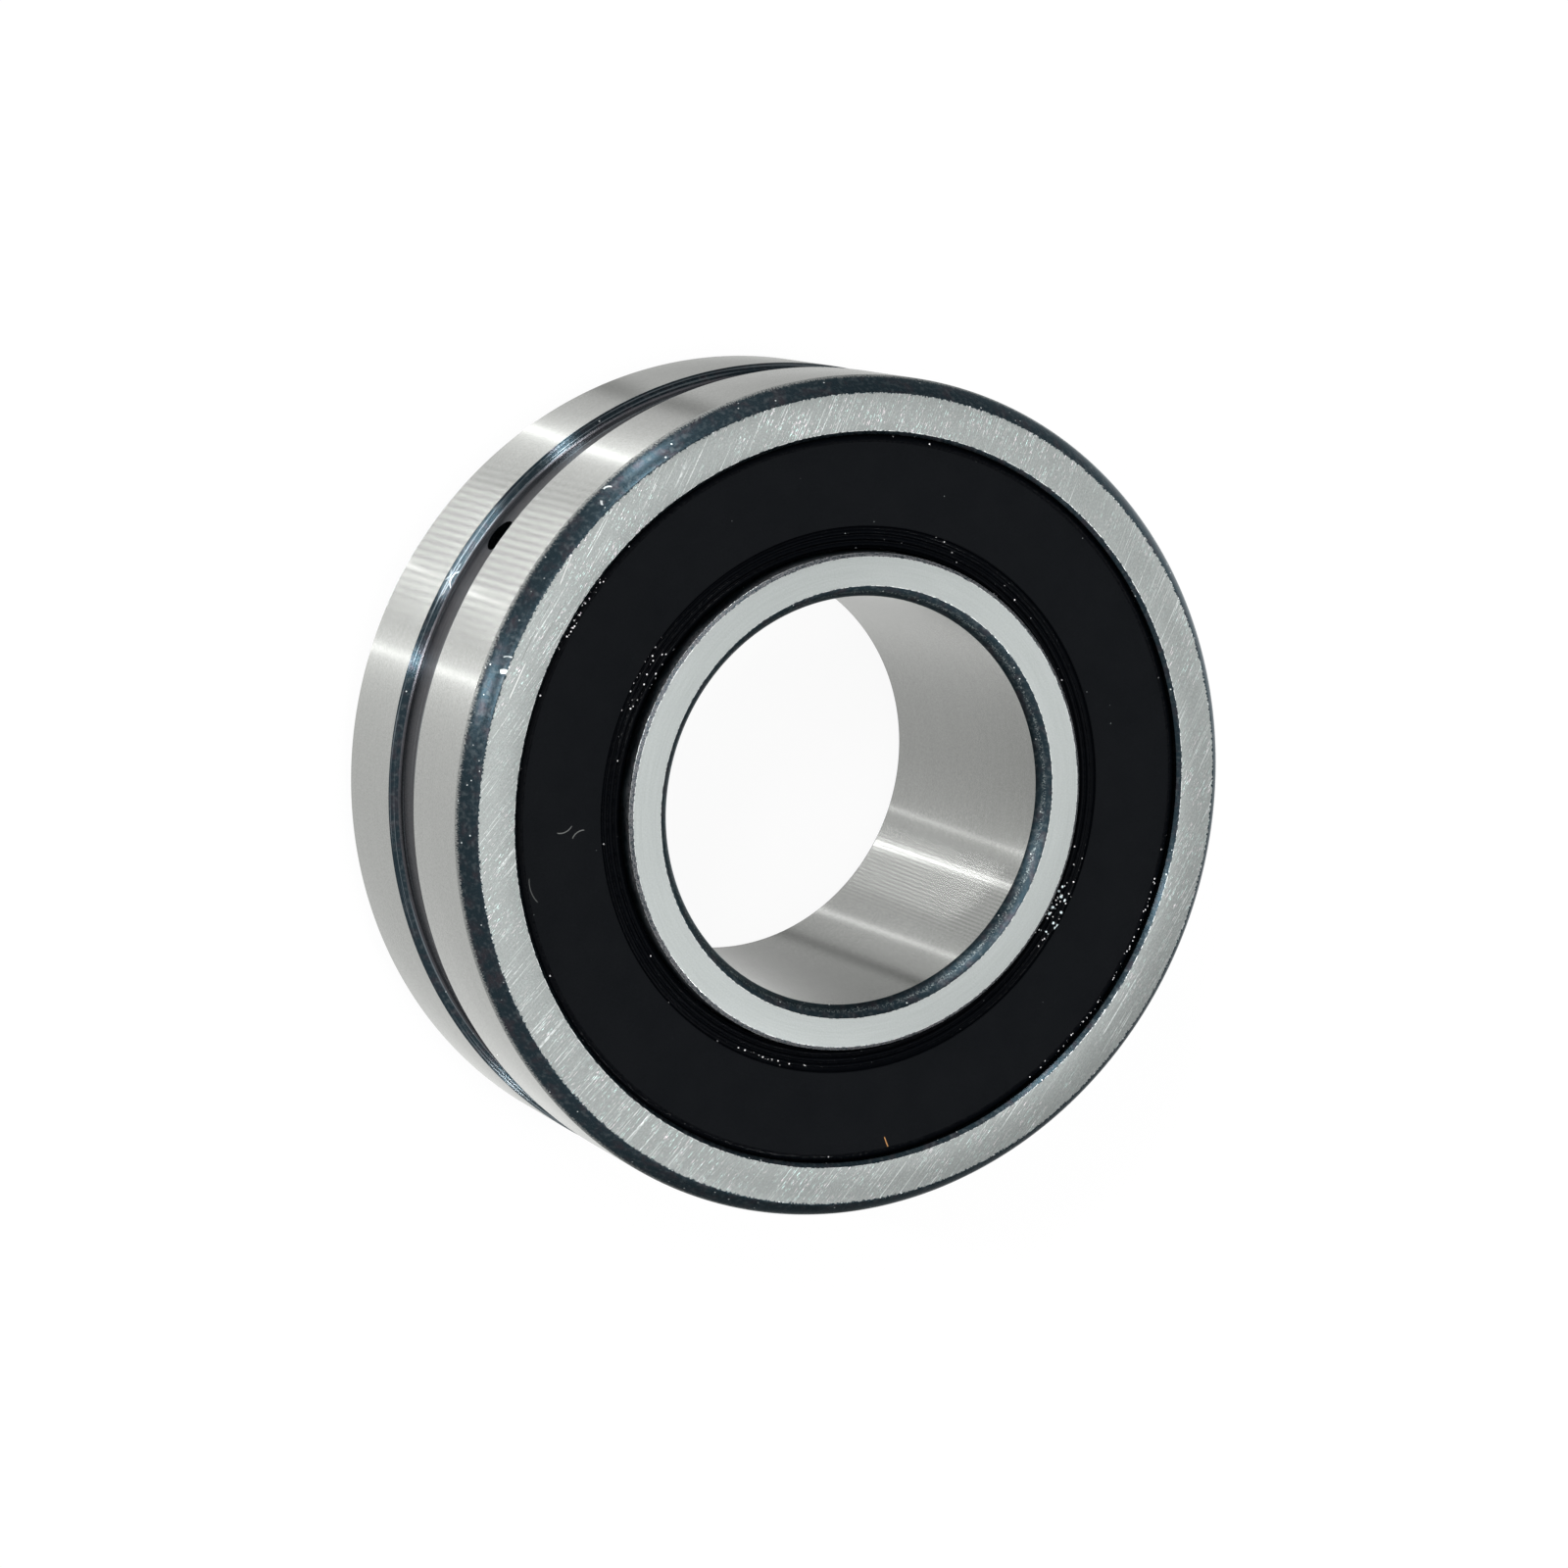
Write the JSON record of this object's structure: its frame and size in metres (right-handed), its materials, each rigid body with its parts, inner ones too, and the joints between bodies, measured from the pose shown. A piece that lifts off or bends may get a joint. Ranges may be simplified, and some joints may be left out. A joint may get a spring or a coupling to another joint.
{
  "type": "spherical roller bearing",
  "caption": "Sealed self-aligning roller bearing with barrel rollers, black rubber seals and a grooved outer ring with lubrication holes.",
  "frame": {"origin": "middle of the bearing on its axis, half way between the faces", "axes": "+Z along the bearing axis towards the front face, +X through one lubrication hole"},
  "size_m": [0.072, 0.072, 0.028],
  "materials": {
    "ring_steel": "ground faces, bore and outside, with dark oxide chamfers and lubrication groove",
    "roller_steel": "superfinished bright steel",
    "cage_steel": "stamped sheet steel, grey phosphate",
    "guide_ring_iron": "turned sintered steel, oiled",
    "seal_plate_steel": "stamped sheet steel",
    "seal_rubber": "black nitrile rubber, matte face with glossy bead and lip zone"
  },
  "bodies": {
    "outer": {"outer_ring": "ring_steel", "seal_plate_front": "seal_plate_steel", "seal_plate_rear": "seal_plate_steel", "seal_rubber_front": "seal_rubber", "seal_rubber_rear": "seal_rubber"},
    "align_carrier": {"guide_ring": "guide_ring_iron"},
    "inner": {"inner_ring": "ring_steel"},
    "cage_front": {"cage_front": "cage_steel"},
    "cage_rear": {"cage_rear": "cage_steel"},
    "roller_front_01": {"roller_front_01": "roller_steel"},
    "roller_front_02": {"roller_front_02": "roller_steel"},
    "roller_front_03": {"roller_front_03": "roller_steel"},
    "roller_front_04": {"roller_front_04": "roller_steel"},
    "roller_front_05": {"roller_front_05": "roller_steel"},
    "roller_front_06": {"roller_front_06": "roller_steel"},
    "roller_front_07": {"roller_front_07": "roller_steel"},
    "roller_front_08": {"roller_front_08": "roller_steel"},
    "roller_front_09": {"roller_front_09": "roller_steel"},
    "roller_front_10": {"roller_front_10": "roller_steel"},
    "roller_front_11": {"roller_front_11": "roller_steel"},
    "roller_front_12": {"roller_front_12": "roller_steel"},
    "roller_front_13": {"roller_front_13": "roller_steel"},
    "roller_front_14": {"roller_front_14": "roller_steel"},
    "roller_front_15": {"roller_front_15": "roller_steel"},
    "roller_front_16": {"roller_front_16": "roller_steel"},
    "roller_rear_01": {"roller_rear_01": "roller_steel"},
    "roller_rear_02": {"roller_rear_02": "roller_steel"},
    "roller_rear_03": {"roller_rear_03": "roller_steel"},
    "roller_rear_04": {"roller_rear_04": "roller_steel"},
    "roller_rear_05": {"roller_rear_05": "roller_steel"},
    "roller_rear_06": {"roller_rear_06": "roller_steel"},
    "roller_rear_07": {"roller_rear_07": "roller_steel"},
    "roller_rear_08": {"roller_rear_08": "roller_steel"},
    "roller_rear_09": {"roller_rear_09": "roller_steel"},
    "roller_rear_10": {"roller_rear_10": "roller_steel"},
    "roller_rear_11": {"roller_rear_11": "roller_steel"},
    "roller_rear_12": {"roller_rear_12": "roller_steel"},
    "roller_rear_13": {"roller_rear_13": "roller_steel"},
    "roller_rear_14": {"roller_rear_14": "roller_steel"},
    "roller_rear_15": {"roller_rear_15": "roller_steel"},
    "roller_rear_16": {"roller_rear_16": "roller_steel"}
  },
  "joints": [
    {"name": "self_align", "type": "hinge", "parent": "outer", "child": "align_carrier", "pos_m": [0, 0, 0], "axis": [1, 0, 0], "range_deg": [-0.5, 0.5]},
    {"name": "inner_spin", "type": "hinge", "parent": "align_carrier", "child": "inner", "pos_m": [0, 0, 0], "axis": [0, 0, 1], "continuous": true},
    {"name": "cage_front_orbit", "type": "hinge", "parent": "align_carrier", "child": "cage_front", "pos_m": [0, 0, 0], "axis": [0, 0, 1], "continuous": true},
    {"name": "cage_rear_orbit", "type": "hinge", "parent": "align_carrier", "child": "cage_rear", "pos_m": [0, 0, 0], "axis": [0, 0, 1], "continuous": true},
    {"name": "roller_front_01_spin", "type": "hinge", "parent": "cage_front", "child": "roller_front_01", "pos_m": [0.02675, 0, 0.00556], "axis": [-0.2035, 0, 0.9791], "continuous": true},
    {"name": "roller_front_02_spin", "type": "hinge", "parent": "cage_front", "child": "roller_front_02", "pos_m": [0.02471, 0.01024, 0.00556], "axis": [-0.188, -0.0779, 0.9791], "continuous": true},
    {"name": "roller_front_03_spin", "type": "hinge", "parent": "cage_front", "child": "roller_front_03", "pos_m": [0.01891, 0.01891, 0.00556], "axis": [-0.1439, -0.1439, 0.9791], "continuous": true},
    {"name": "roller_front_04_spin", "type": "hinge", "parent": "cage_front", "child": "roller_front_04", "pos_m": [0.01024, 0.02471, 0.00556], "axis": [-0.0779, -0.188, 0.9791], "continuous": true},
    {"name": "roller_front_05_spin", "type": "hinge", "parent": "cage_front", "child": "roller_front_05", "pos_m": [0, 0.02675, 0.00556], "axis": [0, -0.2035, 0.9791], "continuous": true},
    {"name": "roller_front_06_spin", "type": "hinge", "parent": "cage_front", "child": "roller_front_06", "pos_m": [-0.01024, 0.02471, 0.00556], "axis": [0.0779, -0.188, 0.9791], "continuous": true},
    {"name": "roller_front_07_spin", "type": "hinge", "parent": "cage_front", "child": "roller_front_07", "pos_m": [-0.01891, 0.01891, 0.00556], "axis": [0.1439, -0.1439, 0.9791], "continuous": true},
    {"name": "roller_front_08_spin", "type": "hinge", "parent": "cage_front", "child": "roller_front_08", "pos_m": [-0.02471, 0.01024, 0.00556], "axis": [0.188, -0.0779, 0.9791], "continuous": true},
    {"name": "roller_front_09_spin", "type": "hinge", "parent": "cage_front", "child": "roller_front_09", "pos_m": [-0.02675, 0, 0.00556], "axis": [0.2035, 0, 0.9791], "continuous": true},
    {"name": "roller_front_10_spin", "type": "hinge", "parent": "cage_front", "child": "roller_front_10", "pos_m": [-0.02471, -0.01024, 0.00556], "axis": [0.188, 0.0779, 0.9791], "continuous": true},
    {"name": "roller_front_11_spin", "type": "hinge", "parent": "cage_front", "child": "roller_front_11", "pos_m": [-0.01891, -0.01891, 0.00556], "axis": [0.1439, 0.1439, 0.9791], "continuous": true},
    {"name": "roller_front_12_spin", "type": "hinge", "parent": "cage_front", "child": "roller_front_12", "pos_m": [-0.01024, -0.02471, 0.00556], "axis": [0.0779, 0.188, 0.9791], "continuous": true},
    {"name": "roller_front_13_spin", "type": "hinge", "parent": "cage_front", "child": "roller_front_13", "pos_m": [0, -0.02675, 0.00556], "axis": [0, 0.2035, 0.9791], "continuous": true},
    {"name": "roller_front_14_spin", "type": "hinge", "parent": "cage_front", "child": "roller_front_14", "pos_m": [0.01024, -0.02471, 0.00556], "axis": [-0.0779, 0.188, 0.9791], "continuous": true},
    {"name": "roller_front_15_spin", "type": "hinge", "parent": "cage_front", "child": "roller_front_15", "pos_m": [0.01891, -0.01891, 0.00556], "axis": [-0.1439, 0.1439, 0.9791], "continuous": true},
    {"name": "roller_front_16_spin", "type": "hinge", "parent": "cage_front", "child": "roller_front_16", "pos_m": [0.02471, -0.01024, 0.00556], "axis": [-0.188, 0.0779, 0.9791], "continuous": true},
    {"name": "roller_rear_01_spin", "type": "hinge", "parent": "cage_rear", "child": "roller_rear_01", "pos_m": [0.02624, 0.00522, -0.00556], "axis": [0.1996, 0.0397, 0.9791], "continuous": true},
    {"name": "roller_rear_02_spin", "type": "hinge", "parent": "cage_rear", "child": "roller_rear_02", "pos_m": [0.02224, 0.01486, -0.00556], "axis": [0.1692, 0.1131, 0.9791], "continuous": true},
    {"name": "roller_rear_03_spin", "type": "hinge", "parent": "cage_rear", "child": "roller_rear_03", "pos_m": [0.01486, 0.02224, -0.00556], "axis": [0.1131, 0.1692, 0.9791], "continuous": true},
    {"name": "roller_rear_04_spin", "type": "hinge", "parent": "cage_rear", "child": "roller_rear_04", "pos_m": [0.00522, 0.02624, -0.00556], "axis": [0.0397, 0.1996, 0.9791], "continuous": true},
    {"name": "roller_rear_05_spin", "type": "hinge", "parent": "cage_rear", "child": "roller_rear_05", "pos_m": [-0.00522, 0.02624, -0.00556], "axis": [-0.0397, 0.1996, 0.9791], "continuous": true},
    {"name": "roller_rear_06_spin", "type": "hinge", "parent": "cage_rear", "child": "roller_rear_06", "pos_m": [-0.01486, 0.02224, -0.00556], "axis": [-0.1131, 0.1692, 0.9791], "continuous": true},
    {"name": "roller_rear_07_spin", "type": "hinge", "parent": "cage_rear", "child": "roller_rear_07", "pos_m": [-0.02224, 0.01486, -0.00556], "axis": [-0.1692, 0.1131, 0.9791], "continuous": true},
    {"name": "roller_rear_08_spin", "type": "hinge", "parent": "cage_rear", "child": "roller_rear_08", "pos_m": [-0.02624, 0.00522, -0.00556], "axis": [-0.1996, 0.0397, 0.9791], "continuous": true},
    {"name": "roller_rear_09_spin", "type": "hinge", "parent": "cage_rear", "child": "roller_rear_09", "pos_m": [-0.02624, -0.00522, -0.00556], "axis": [-0.1996, -0.0397, 0.9791], "continuous": true},
    {"name": "roller_rear_10_spin", "type": "hinge", "parent": "cage_rear", "child": "roller_rear_10", "pos_m": [-0.02224, -0.01486, -0.00556], "axis": [-0.1692, -0.1131, 0.9791], "continuous": true},
    {"name": "roller_rear_11_spin", "type": "hinge", "parent": "cage_rear", "child": "roller_rear_11", "pos_m": [-0.01486, -0.02224, -0.00556], "axis": [-0.1131, -0.1692, 0.9791], "continuous": true},
    {"name": "roller_rear_12_spin", "type": "hinge", "parent": "cage_rear", "child": "roller_rear_12", "pos_m": [-0.00522, -0.02624, -0.00556], "axis": [-0.0397, -0.1996, 0.9791], "continuous": true},
    {"name": "roller_rear_13_spin", "type": "hinge", "parent": "cage_rear", "child": "roller_rear_13", "pos_m": [0.00522, -0.02624, -0.00556], "axis": [0.0397, -0.1996, 0.9791], "continuous": true},
    {"name": "roller_rear_14_spin", "type": "hinge", "parent": "cage_rear", "child": "roller_rear_14", "pos_m": [0.01486, -0.02224, -0.00556], "axis": [0.1131, -0.1692, 0.9791], "continuous": true},
    {"name": "roller_rear_15_spin", "type": "hinge", "parent": "cage_rear", "child": "roller_rear_15", "pos_m": [0.02224, -0.01486, -0.00556], "axis": [0.1692, -0.1131, 0.9791], "continuous": true},
    {"name": "roller_rear_16_spin", "type": "hinge", "parent": "cage_rear", "child": "roller_rear_16", "pos_m": [0.02624, -0.00522, -0.00556], "axis": [0.1996, -0.0397, 0.9791], "continuous": true}
  ],
  "couplings": [
    {"joint": "cage_front_orbit", "follows": "inner_spin", "ratio": 0.40851},
    {"joint": "cage_rear_orbit", "follows": "inner_spin", "ratio": 0.40851},
    {"joint": "roller_front_01_spin", "follows": "inner_spin", "ratio": -2.5857},
    {"joint": "roller_front_02_spin", "follows": "inner_spin", "ratio": -2.5857},
    {"joint": "roller_front_03_spin", "follows": "inner_spin", "ratio": -2.5857},
    {"joint": "roller_front_04_spin", "follows": "inner_spin", "ratio": -2.5857},
    {"joint": "roller_front_05_spin", "follows": "inner_spin", "ratio": -2.5857},
    {"joint": "roller_front_06_spin", "follows": "inner_spin", "ratio": -2.5857},
    {"joint": "roller_front_07_spin", "follows": "inner_spin", "ratio": -2.5857},
    {"joint": "roller_front_08_spin", "follows": "inner_spin", "ratio": -2.5857},
    {"joint": "roller_front_09_spin", "follows": "inner_spin", "ratio": -2.5857},
    {"joint": "roller_front_10_spin", "follows": "inner_spin", "ratio": -2.5857},
    {"joint": "roller_front_11_spin", "follows": "inner_spin", "ratio": -2.5857},
    {"joint": "roller_front_12_spin", "follows": "inner_spin", "ratio": -2.5857},
    {"joint": "roller_front_13_spin", "follows": "inner_spin", "ratio": -2.5857},
    {"joint": "roller_front_14_spin", "follows": "inner_spin", "ratio": -2.5857},
    {"joint": "roller_front_15_spin", "follows": "inner_spin", "ratio": -2.5857},
    {"joint": "roller_front_16_spin", "follows": "inner_spin", "ratio": -2.5857},
    {"joint": "roller_rear_01_spin", "follows": "inner_spin", "ratio": -2.5857},
    {"joint": "roller_rear_02_spin", "follows": "inner_spin", "ratio": -2.5857},
    {"joint": "roller_rear_03_spin", "follows": "inner_spin", "ratio": -2.5857},
    {"joint": "roller_rear_04_spin", "follows": "inner_spin", "ratio": -2.5857},
    {"joint": "roller_rear_05_spin", "follows": "inner_spin", "ratio": -2.5857},
    {"joint": "roller_rear_06_spin", "follows": "inner_spin", "ratio": -2.5857},
    {"joint": "roller_rear_07_spin", "follows": "inner_spin", "ratio": -2.5857},
    {"joint": "roller_rear_08_spin", "follows": "inner_spin", "ratio": -2.5857},
    {"joint": "roller_rear_09_spin", "follows": "inner_spin", "ratio": -2.5857},
    {"joint": "roller_rear_10_spin", "follows": "inner_spin", "ratio": -2.5857},
    {"joint": "roller_rear_11_spin", "follows": "inner_spin", "ratio": -2.5857},
    {"joint": "roller_rear_12_spin", "follows": "inner_spin", "ratio": -2.5857},
    {"joint": "roller_rear_13_spin", "follows": "inner_spin", "ratio": -2.5857},
    {"joint": "roller_rear_14_spin", "follows": "inner_spin", "ratio": -2.5857},
    {"joint": "roller_rear_15_spin", "follows": "inner_spin", "ratio": -2.5857},
    {"joint": "roller_rear_16_spin", "follows": "inner_spin", "ratio": -2.5857}
  ]
}
